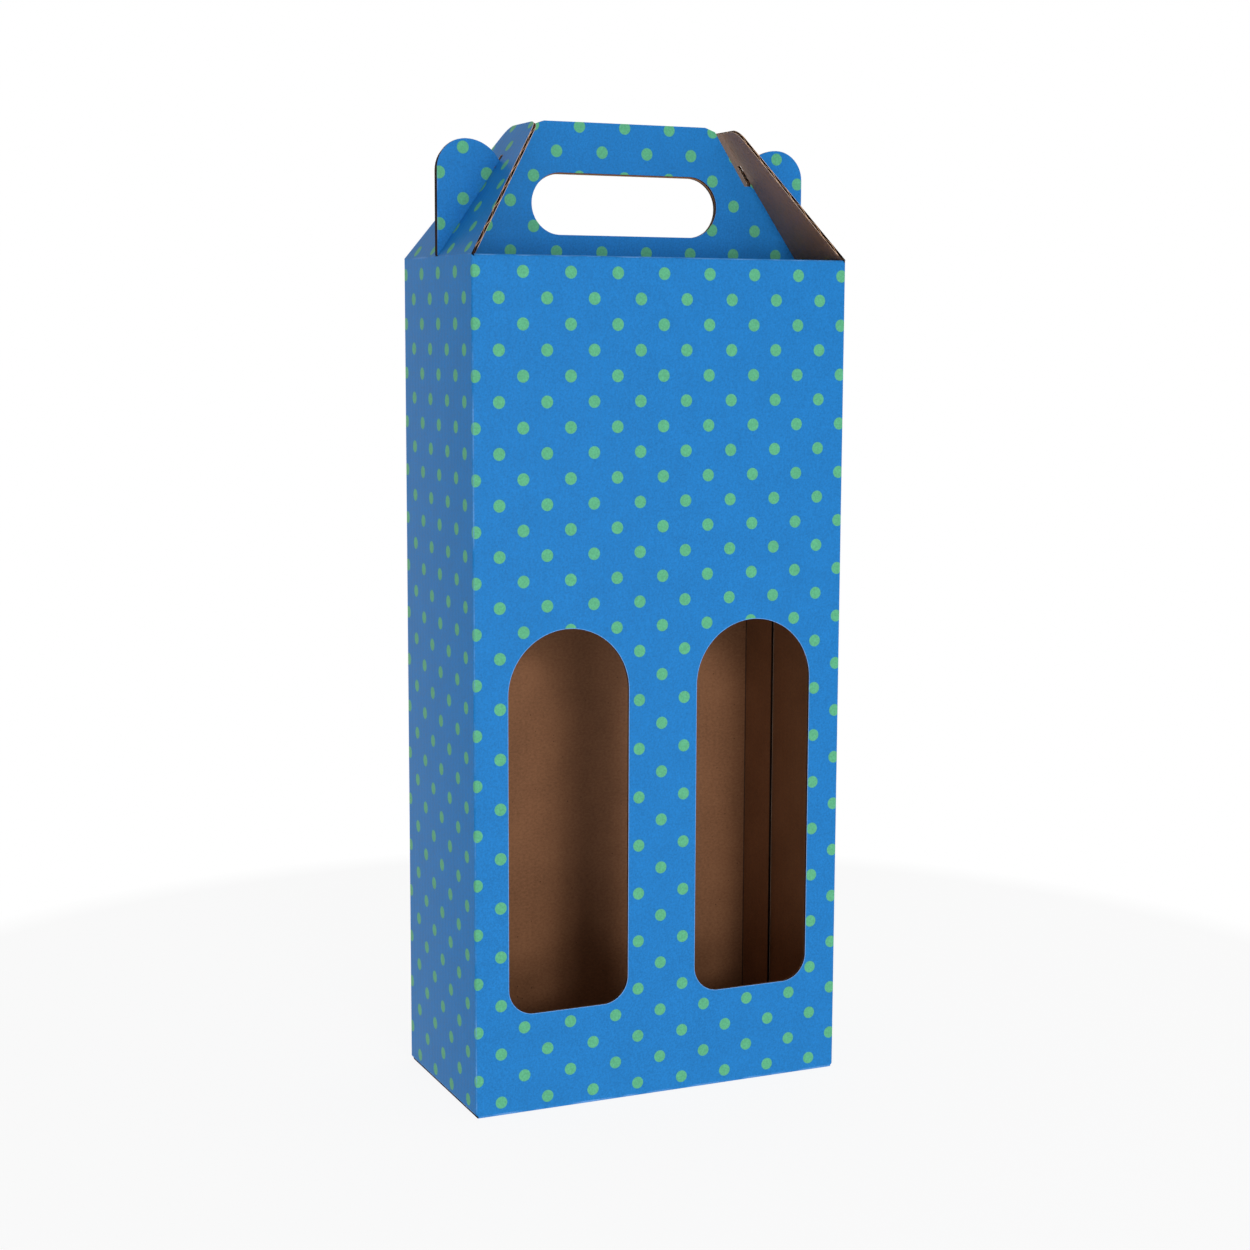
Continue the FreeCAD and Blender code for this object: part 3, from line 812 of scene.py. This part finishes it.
def top_profile(inset, radius):
    """Out, height and blank row along the top fold, the roof and the crease of the handle, at a
    depth inset in the board. The crease's circle grows with the depth, because it is concave."""
    turn = np.linspace(0, pi / 2, FOLD_POINTS)
    fold_out = DEPTH / 2 - inset - radius + radius * np.cos(turn)
    fold_z = HEIGHT - inset - radius + radius * np.sin(turn)
    fold_row = WALL_TOP_ROW + np.linspace(1, -1, FOLD_POINTS) * (inset + radius) / DOT_STEP
    crease_out = PANEL_GAP / 2 + BOARD + CREASE_RADIUS - (CREASE_RADIUS + inset) * np.sin(turn)
    crease_z = HEIGHT + CREASE_RADIUS - (CREASE_RADIUS + inset) * np.cos(turn)
    roof_row = WALL_TOP_ROW - (DEPTH / 2 - crease_out[0]) / DOT_STEP
    crease_row = np.linspace(roof_row, HANDLE_FOOT_ROW - CREASE_RADIUS / DOT_STEP, FOLD_POINTS)
    return (np.concatenate([fold_out, crease_out]), np.concatenate([fold_z, crease_z]),
            np.concatenate([fold_row, crease_row]))


def top_sheet(side, inset, radius):
    """Patches of the roof half and its handle panel on one side, at a depth in the board."""
    u = COLUMNS[np.abs(COLUMNS) < WIDTH / 2 - FOLD_RADIUS + GRID_STEP / 2]
    out, z, row = top_profile(inset, radius)
    keep = np.ones((len(u) - 1, len(out) - 1), bool)
    middle = (u[1:] + u[:-1]) / 2
    keep[np.abs(middle) > ROOF_END, FOLD_POINTS - 1:] = False
    column = column_at(side, u)[:, None]
    patches = [patch(side, u[:, None], out, z, column, row, keep)]
    panel_out = PANEL_GAP / 2 + BOARD - inset
    sink = REAR_SINK if side == "back" else 0.0
    for u, rows, keep in handle_grids(COLUMNS, HEIGHT + CREASE_RADIUS, sink):
        blank_row = HANDLE_FOOT_ROW - (rows - HEIGHT) / DOT_STEP
        patches.append(patch(side, u[:, None], panel_out, rows, column_at(side, u)[:, None],
                             blank_row, keep))
    return patches


COLUMNS = sheet_columns()
print("columns over the width:", len(COLUMNS))

# %% [markdown]
# ## The walls and the bottom
# The four walls stand round the box, with the seam flap of the rear wall glued inside the right one.
# Four bottom flaps are folded in and glued. A box could be made from a cube, but then it would have
# no seam, no flaps and no true thickness, which all show through the windows.

# %% Walls at a depth in the board
def wall(side, u, reach, low, high, windows=False):
    """Patch of one wall."""
    rows, keep = wall_grid(u, low, high, windows)
    return patch(side, u[:, None], reach, rows, column_at(side, u)[:, None], wall_row(rows), keep)


def corner_fold(side, half, reach, radius, before, after):
    """Upright fold at the end of a side: a quarter circle between the rows of its two walls."""
    turn = np.linspace(0, pi / 2, FOLD_POINTS)[:, None]
    share = np.linspace(0, 1, FOLD_POINTS)[:, None]
    u = half - radius + radius * np.sin(turn)
    out = reach - radius + radius * np.cos(turn)
    rows = before[None, :] + (after - before)[None, :] * share
    column = column_at(side, half + (2 * share - 1) * radius)
    return patch(side, u, out, rows, column, wall_row(rows))


def four_walls(inset, radius, long_ends, short_ends):
    """The four walls and the seam flap with their upright folds, at a depth inset in the board."""
    long_half, short_half = WIDTH / 2 - inset, DEPTH / 2 - inset
    long_u = COLUMNS[np.abs(COLUMNS) < long_half - radius - GRID_STEP / 2]
    long_u = np.concatenate([[radius - long_half], long_u, [long_half - radius]])
    short_u = np.array([radius - short_half, short_half - radius])
    seam = WIDTH / 2 - BOARD - BOARD_CLEARANCE
    back_u = np.array([radius + inset - seam, long_half - radius])
    right_u = np.array([radius - short_half, DEPTH / 2])
    glue_u = np.array([GLUE_FLAP_END, short_half - radius])
    glue_ends = (GLUE_FLAP_LOW, GLUE_FLAP_HIGH)
    level = np.full(2, WIDTH)
    rows = {name: wall_grid(level, *ends)[0][0]
            for name, ends in (("long", long_ends), ("short", short_ends), ("glue", glue_ends))}
    patches = [
        wall("front", long_u, short_half, *long_ends, windows=True),
        wall("back", back_u, short_half, *long_ends),
        wall("left", short_u, long_half, *short_ends),
        wall("right", right_u, long_half, *short_ends),
        corner_fold("front", long_half, short_half, radius, rows["long"], rows["short"]),
        corner_fold("left", short_half, long_half, radius, rows["short"], rows["long"]),
        corner_fold("back", long_half, short_half, radius, rows["long"], rows["short"]),
        wall("right", glue_u, seam - inset, *glue_ends),
        corner_fold("right", short_half, seam - inset, radius, rows["long"], rows["long"]),
    ]
    return patches


# %% Bottom flaps at a depth in the board
def bottom_flap(side, half, radius, reach, floor, end):
    """Bottom flap from its free end to the quarter circle that joins it to its wall."""
    turn = np.linspace(pi / 2, 0, FOLD_POINTS)
    out = np.concatenate([[end], reach - radius + radius * np.cos(turn)])
    z = np.concatenate([[floor], floor + radius - radius * np.sin(turn)])
    u = np.array([-half, half])
    row = wall_row(0) + (reach - out) / DOT_STEP
    return patch(side, u[:, None], out, z, column_at(side, u)[:, None], row)


def bottom_sheet(inset, major_radius, minor_radius):
    """The four bottom flaps at a depth in the board: the long ones outside, the short ones inside."""
    minor_floor = BOARD + BOARD_CLEARANCE + inset
    minor_half = DEPTH / 2 - BOARD - MINOR_SIDE_GAP
    patches = []
    for side in ("front", "back"):
        patches.append(bottom_flap(side, WIDTH / 2 - FOLD_RADIUS, major_radius,
                                   DEPTH / 2 - inset, inset, BOTTOM_SEAM))
    for side in ("left", "right"):
        patches.append(bottom_flap(side, minor_half, minor_radius,
                                   WIDTH / 2 - inset, minor_floor, MINOR_END))
    return patches


# %% [markdown]
# ## The two liners
# The printed liner is the sheet's outer skin and the brown one its inner skin. Each is one welded
# surface that gets the paper's thickness on its inner side. The print replaces the solid carton.

# %% Printed liner of the carton
MINOR_RADIUS = 0.8 * MM
long_ends = (FOLD_RADIUS, HEIGHT - FOLD_RADIUS)
short_ends = (BOARD + MINOR_RADIUS, HEIGHT)
printed = four_walls(0.0, FOLD_RADIUS, long_ends, short_ends)
printed += top_sheet("front", 0.0, FOLD_RADIUS) + top_sheet("back", 0.0, FOLD_RADIUS)
printed += bottom_sheet(0.0, FOLD_RADIUS, MINOR_RADIUS)
carton_print = make_piece("carton_printed_liner", "carton", printed,
                          (print_face, deep_shade_face, liner_edge), LINER)
print_hinge_edges(carton_print)
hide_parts("carton")

# %% Brown liner of the carton
long_ends = (BOARD + INNER_CREASE, HEIGHT - BOARD - INNER_CREASE)
short_ends = (2 * BOARD + INNER_CREASE, HEIGHT - BOARD * tan(FLAP_LEAN / 2))
brown = four_walls(BOARD, INNER_CREASE, long_ends, short_ends)
brown += top_sheet("front", BOARD, INNER_CREASE) + top_sheet("back", BOARD, INNER_CREASE)
brown += bottom_sheet(BOARD, INNER_CREASE, INNER_CREASE)
carton_brown = make_piece("carton_brown_liner", "carton", brown,
                          (shaded_kraft_face, deep_shade_face, shaded_cut_edge), LINER, flip=True)


# %% [markdown]
# ## The fluting
# Between the liners runs a sine wave of paper. It could be an image on the cut edges, but a real
# wave shows its holes from every side. Its columns are close together, and each panel's outline
# cuts it just as it cuts the liners, so every cut edge shows the wave at its true slant.

# %% Fluting of the carton
FLUTE_MIDDLE = BOARD / 2
CUT_EDGE_MARGIN = 0.05 * MM
EAR_MARGIN = 0.1 * MM


def flute_columns(low, high, *outline):
    """Columns from low to high that follow the wave, and those of an outline."""
    count = int((high - low) / FLUTE_PITCH * SAMPLES_PER_FLUTE)
    outline = np.concatenate([np.atleast_1d(group) for group in outline]) if outline else np.array([])
    inside = outline[(outline > low) & (outline < high)]
    return np.unique(np.concatenate([np.linspace(low, high, count), inside]))


def flute_depth(u):
    """Depth of the wave in the board over u: its middle plus a sine."""
    return FLUTE_MIDDLE + FLUTE_SWING * np.sin(2 * pi * u / FLUTE_PITCH)


def fluted(side, u, reach, rows, keep, row):
    """Patch of fluting in an upright panel whose printed face is at reach."""
    return patch(side, u[:, None], (reach - flute_depth(u))[:, None], rows,
                 column_at(side, u)[:, None], row, keep)


def wall_fluting(side):
    """Fluting of one wall. It stops a board's thickness short of the folds, and runs on to the cut
    edge of the right wall and to the mitred top edges of the side walls."""
    edge = CUT_EDGE_MARGIN if side == "right" else BOARD
    top = BOARD if side in ("front", "back") else BOARD * tan(FLAP_LEAN / 2)
    windows = side == "front"
    u = flute_columns(-HALF[side] + BOARD, HALF[side] - edge, COLUMNS if windows else 0)
    rows, keep = wall_grid(u, 2 * BOARD, HEIGHT - top, windows)
    return fluted(side, u, REACH[side], rows, keep, wall_row(rows))


def level_fluting(side, u, out, z):
    """Fluting of a level panel between two distances from the middle of the box."""
    out = np.array(out)[None, :]
    return patch(side, u[:, None], out, z[:, None], column_at(side, u)[:, None], 0.0)


def handle_fluting(side):
    """Fluting of one handle panel with its ears."""
    end = WIDTH / 2 - EAR_MARGIN
    u = flute_columns(-end, end, COLUMNS)
    sink = REAR_SINK if side == "back" else 0.0
    return [fluted(side, grid_u, PANEL_GAP / 2 + BOARD, rows, keep, 0.0)
            for grid_u, rows, keep in handle_grids(u, HEIGHT + CREASE_RADIUS, sink)]


def carton_fluting():
    """Fluting of all panels of the carton: walls, roof halves, outer bottom flaps and handle."""
    patches = [wall_fluting(side) for side in SIDES]
    wall_out = DEPTH / 2 - BOARD
    for side in ("front", "back"):
        u = flute_columns(-ROOF_END, ROOF_END)
        crease_out = PANEL_GAP / 2 + BOARD + CREASE_RADIUS
        patches.append(level_fluting(side, u, (wall_out, crease_out), HEIGHT - flute_depth(u)))
        u = flute_columns(-BOTTOM_HALF + BOARD, BOTTOM_HALF - BOARD)
        patches.append(level_fluting(side, u, (BOTTOM_SEAM, wall_out), flute_depth(u)))
        patches += handle_fluting(side)
    return patches


carton_flutes = make_piece("carton_fluting", "carton", carton_fluting(),
                           (deep_shade_face, deep_shade_face, shaded_cut_edge), FLUTE_PAPER, offset=0.0)

# %% [markdown]
# ## The lock flaps
# Each flap is a trapezoid with rounded top corners and a slot that starts at its fold. It leans
# over the ears and locks them. Its fold could be drawn as part of the carton, but the flap opens, so
# its three layers are pieces of their own that ride on the flap's body and turn with the hinge.

# %% Lock flaps
def flap_patch(side, u, depth, foot):
    """Layer of a flap at a depth in its board. Along the flap, v moves in by the sine of the lean
    and up by its cosine; the depth moves in by the cosine and down by the sine."""
    rows, keep = flap_grid(u, foot)
    depth = np.broadcast_to(depth, u.shape)[:, None]
    out = WIDTH / 2 - rows * sin(FLAP_LEAN) - depth * cos(FLAP_LEAN)
    z = HEIGHT + rows * cos(FLAP_LEAN) - depth * sin(FLAP_LEAN)
    row = WALL_TOP_ROW - rows / DOT_STEP
    return [patch(side, u[:, None], out, z, column_at(side, u)[:, None], row, keep)]


def make_lock_flap(side, body):
    """Printed liner, brown liner and fluting of one flap."""
    name = side + "_lock_flap"
    inner_foot = FLAP_FOOT + BOARD * tan(FLAP_LEAN / 2)
    printed = make_piece(name + "_printed_liner", body,
                         flap_patch(side, flap_columns(PRINT_FOOT), 0.0, PRINT_FOOT),
                         (print_face, deep_shade_face, liner_edge), LINER)
    print_hinge_edges(printed)
    brown = make_piece(name + "_brown_liner", body,
                       flap_patch(side, flap_columns(inner_foot), BOARD, inner_foot),
                       (lit_flap_kraft, deep_shade_face, liner_edge), LINER, flip=True)
    half = flap_half(inner_foot)
    u = flute_columns(-half, half, flap_columns(inner_foot))
    flutes = make_piece(name + "_fluting", body, flap_patch(side, u, flute_depth(u), inner_foot),
                        (deep_shade_face, deep_shade_face, raw_edge), FLUTE_PAPER, offset=0.0)
    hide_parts(name)


make_lock_flap("left", "left_flap")
make_lock_flap("right", "right_flap")

# %% [markdown]
# ## Camera, floor and light
# The camera stands in front and to the left, a little below the top fold, with a long lens. The
# light is a white room: an even sky, two high softboxes in front that leave the dark band behind
# the windows, a low one near the floor, a weak fill from the left and a wide one overhead. The
# floor glows like a light table. One big lamp in front would be simpler, but it flattens the folds.

# %% Camera
CAMERA_AT = Vector((-0.4122, -0.9263, 0.3450))
CAMERA_YAW = 0.41979
CAMERA_PITCH = -0.13179
CAMERA_ROLL = 0.00399
LENS = 63.41

camera_data = bpy.data.cameras.new("camera")
camera_data.lens = LENS
camera_data.sensor_width = 36
camera_data.clip_start = 0.01
camera_data.clip_end = 20
camera = bpy.data.objects.new("camera", camera_data)
bpy.context.scene.collection.objects.link(camera)
camera.location = CAMERA_AT
aim = Vector((sin(CAMERA_YAW) * cos(CAMERA_PITCH), cos(CAMERA_YAW) * cos(CAMERA_PITCH),
              sin(CAMERA_PITCH)))
camera.rotation_mode = "QUATERNION"
camera.rotation_quaternion = aim.to_track_quat("-Z", "Y") @ Quaternion((0, 0, 1), CAMERA_ROLL)
bpy.context.scene.camera = camera
print("lens %.1f mm, camera %.2f m from the box" % (LENS, CAMERA_AT.length))

# %% Floor
FLOOR_RADIUS = 6.0
FLOOR_SIDES = 64
FLOOR_DROP = 0.2 * MM
FLOOR_SHADE = (0.92, 0.92, 0.92, 1)
# Distances from the middle between which the floor turns plain white to the eye
SHADOW_REACH = (0.1, 0.45)
FLOOR_GLOW = 0.9


def white_to_the_eye(tree):
    """1 for rays that come straight from the camera, or by a reflection or through glass."""
    path = node(tree, "ShaderNodeLightPath")
    seen = math(tree, "ADD", path.outputs["Is Camera Ray"], path.outputs["Is Glossy Ray"])
    return math(tree, "ADD", seen, path.outputs["Is Transmission Ray"], clamp=True)


def make_floor():
    """Flat disc under the box. It glows like a light table, so it throws light up at the walls and
    keeps a faint shadow of the box; further out the camera sees it plain white."""
    turn = np.linspace(0, 2 * pi, FLOOR_SIDES + 1)[:-1]
    z = np.full(FLOOR_SIDES, -FLOOR_DROP)
    rim = np.stack([FLOOR_RADIUS * np.cos(turn), FLOOR_RADIUS * np.sin(turn), z], axis=1)
    mesh = bpy.data.meshes.new("floor")
    mesh.from_pydata(rim.tolist(), [], [list(range(len(rim)))])
    floor = bpy.data.objects.new("floor", mesh)
    bpy.context.scene.collection.objects.link(floor)
    material, tree, shader = new_material("pale_floor")
    shader.inputs["Base Color"].default_value = FLOOR_SHADE
    shader.inputs["Roughness"].default_value = 0.9
    place = node(tree, "ShaderNodeTexCoord")
    middle = node(tree, "ShaderNodeVectorMath", operation="LENGTH")
    tree.links.new(place.outputs["Object"], middle.inputs[0])
    away = spread_to(tree, middle.outputs["Value"], *SHADOW_REACH)
    glow = node(tree, "ShaderNodeEmission", Strength=1.0)
    blend = node(tree, "ShaderNodeMixShader")
    plain = math(tree, "MULTIPLY", away, white_to_the_eye(tree))
    tree.links.new(math(tree, "MAXIMUM", plain, FLOOR_GLOW), blend.inputs[0])
    tree.links.new(shader.outputs[0], blend.inputs[1])
    tree.links.new(glow.outputs[0], blend.inputs[2])
    tree.links.new(blend.outputs[0], tree.nodes["Material Output"].inputs["Surface"])
    floor.data.materials.append(material)
    return floor


floor = make_floor()

# %% Light
SKY_LEVEL = 0.3
BOX_MIDDLE = (0, 0, 0.2)


def light_the_room():
    """Soft even sky that the camera and reflections see as plain white."""
    world = bpy.data.worlds.new("room")
    world.use_nodes = True
    bpy.context.scene.world = world
    tree = world.node_tree
    background = tree.nodes["Background"]
    level = spread_to(tree, white_to_the_eye(tree), 0.0, 1.0, SKY_LEVEL, 1.0)
    background.inputs["Color"].default_value = (1, 1, 1, 1)
    tree.links.new(level, background.inputs["Strength"])


def add_softbox(name, at, towards, size, level):
    """Square area light aimed at a point. Level is the light on a white card there that faces it."""
    away = (Vector(towards) - Vector(at)).length
    data = bpy.data.lights.new(name, "AREA")
    data.shape = "SQUARE"
    data.size = size
    data.energy = level * pi * (away**2 + size**2 / 4) * pi
    light = bpy.data.objects.new(name, data)
    bpy.context.scene.collection.objects.link(light)
    light.location = at
    light.rotation_mode = "QUATERNION"
    light.rotation_quaternion = (Vector(towards) - Vector(at)).to_track_quat("-Z", "Y")


light_the_room()
add_softbox("high_left_softbox", (-0.22, -2.3, 0.75), BOX_MIDDLE, 0.4, 0.13)
add_softbox("high_right_softbox", (0.0, -2.3, 0.75), BOX_MIDDLE, 0.3, 0.12)
add_softbox("low_softbox", (0, -1.5, 0.03), BOX_MIDDLE, 0.5, 0.32)
add_softbox("left_fill", (-2.3, 0.4, 0.2), BOX_MIDDLE, 1.2, 0.03)
add_softbox("overhead_softbox", (0.5, 0.1, 2.1), (0, 0, 0), 2.0, 0.15)

bpy.context.scene.view_settings.view_transform = "Standard"
